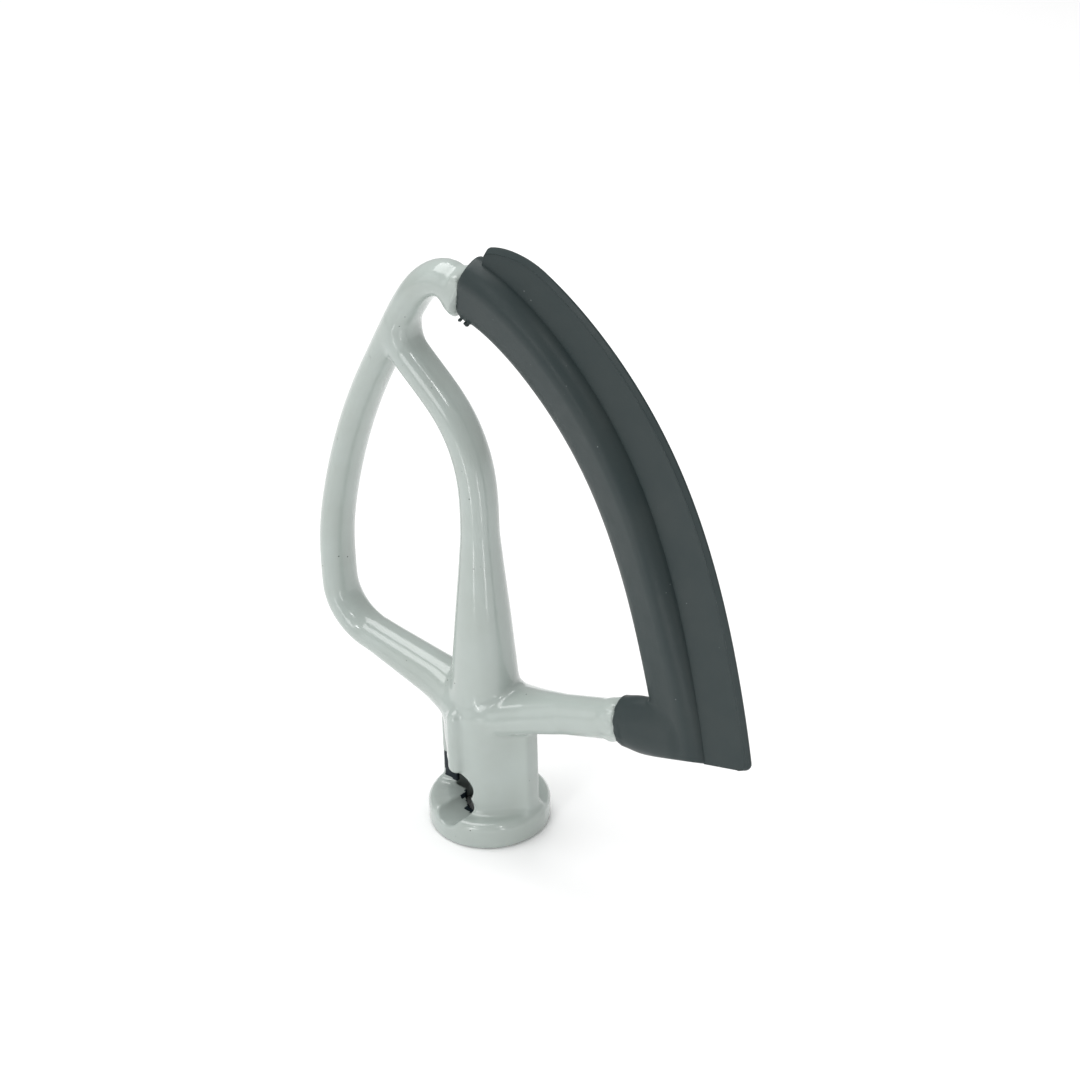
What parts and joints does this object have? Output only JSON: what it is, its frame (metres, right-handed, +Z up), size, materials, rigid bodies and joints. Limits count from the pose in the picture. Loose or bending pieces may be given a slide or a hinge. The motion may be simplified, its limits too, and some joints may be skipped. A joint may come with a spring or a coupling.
{
  "type": "stand mixer flat beater",
  "caption": "Coated cast flat beater for a stand mixer, with a keyed drive collar, an open loop frame and a moulded flexible wiping edge on one side.",
  "frame": {"origin": "centre of the drive collar's bottom face, on the axis of the shaft socket", "axes": "+Z up the stem from the collar to the tip; +X in the plane of the beater towards the flexible edge; -Y is the side with the rib and the pin's seat"},
  "size_m": [0.1404, 0.0344, 0.177],
  "materials": {
    "coated_casting": "gloss",
    "flexible_edge": "satin"
  },
  "bodies": {
    "beater": {"hub": "coated_casting", "stem": "coated_casting", "left_lower_arm": "coated_casting", "left_arm": "coated_casting", "crown": "coated_casting", "right_lower_arm": "coated_casting", "edge_arm": "coated_casting", "edge_cover": "flexible_edge"},
    "blade_1": {"blade_segment_1": "flexible_edge"},
    "blade_2": {"blade_segment_2": "flexible_edge"},
    "blade_3": {"blade_segment_3": "flexible_edge"},
    "blade_4": {"blade_segment_4": "flexible_edge"},
    "blade_5": {"blade_segment_5": "flexible_edge"},
    "blade_6": {"blade_segment_6": "flexible_edge"},
    "blade_7": {"blade_segment_7": "flexible_edge"},
    "blade_8": {"blade_segment_8": "flexible_edge"}
  },
  "joints": [
    {"name": "blade_bend_1", "type": "hinge", "parent": "beater", "child": "blade_1", "pos_m": [0.07303, 0, 0.05451], "axis": [-0.1487, 0, 0.9889], "range_deg": [-20, 20], "stiffness_Nm_per_rad": 0.004},
    {"name": "blade_bend_2", "type": "hinge", "parent": "beater", "child": "blade_2", "pos_m": [0.06975, 0, 0.0732], "axis": [-0.1964, 0, 0.9805], "range_deg": [-20, 20], "stiffness_Nm_per_rad": 0.004},
    {"name": "blade_bend_3", "type": "hinge", "parent": "beater", "child": "blade_3", "pos_m": [0.06547, 0, 0.0917], "axis": [-0.2545, 0, 0.9671], "range_deg": [-20, 20], "stiffness_Nm_per_rad": 0.004},
    {"name": "blade_bend_4", "type": "hinge", "parent": "beater", "child": "blade_4", "pos_m": [0.05979, 0, 0.10986], "axis": [-0.3421, 0, 0.9397], "range_deg": [-20, 20], "stiffness_Nm_per_rad": 0.004},
    {"name": "blade_bend_5", "type": "hinge", "parent": "beater", "child": "blade_5", "pos_m": [0.05209, 0, 0.12732], "axis": [-0.4629, 0, 0.8864], "range_deg": [-20, 20], "stiffness_Nm_per_rad": 0.004},
    {"name": "blade_bend_6", "type": "hinge", "parent": "beater", "child": "blade_6", "pos_m": [0.04189, 0, 0.14347], "axis": [-0.6018, 0, 0.7987], "range_deg": [-20, 20], "stiffness_Nm_per_rad": 0.004},
    {"name": "blade_bend_7", "type": "hinge", "parent": "beater", "child": "blade_7", "pos_m": [0.0291, 0, 0.15768], "axis": [-0.7307, 0, 0.6827], "range_deg": [-20, 20], "stiffness_Nm_per_rad": 0.004},
    {"name": "blade_bend_8", "type": "hinge", "parent": "beater", "child": "blade_8", "pos_m": [0.01364, 0, 0.16901], "axis": [-0.8708, 0, 0.4917], "range_deg": [-20, 20], "stiffness_Nm_per_rad": 0.004}
  ],
  "couplings": [
    {"joint": "blade_bend_2", "follows": "blade_bend_1", "ratio": 1},
    {"joint": "blade_bend_3", "follows": "blade_bend_1", "ratio": 1},
    {"joint": "blade_bend_4", "follows": "blade_bend_1", "ratio": 1},
    {"joint": "blade_bend_5", "follows": "blade_bend_1", "ratio": 1},
    {"joint": "blade_bend_6", "follows": "blade_bend_1", "ratio": 1},
    {"joint": "blade_bend_7", "follows": "blade_bend_1", "ratio": 1},
    {"joint": "blade_bend_8", "follows": "blade_bend_1", "ratio": 1}
  ]
}
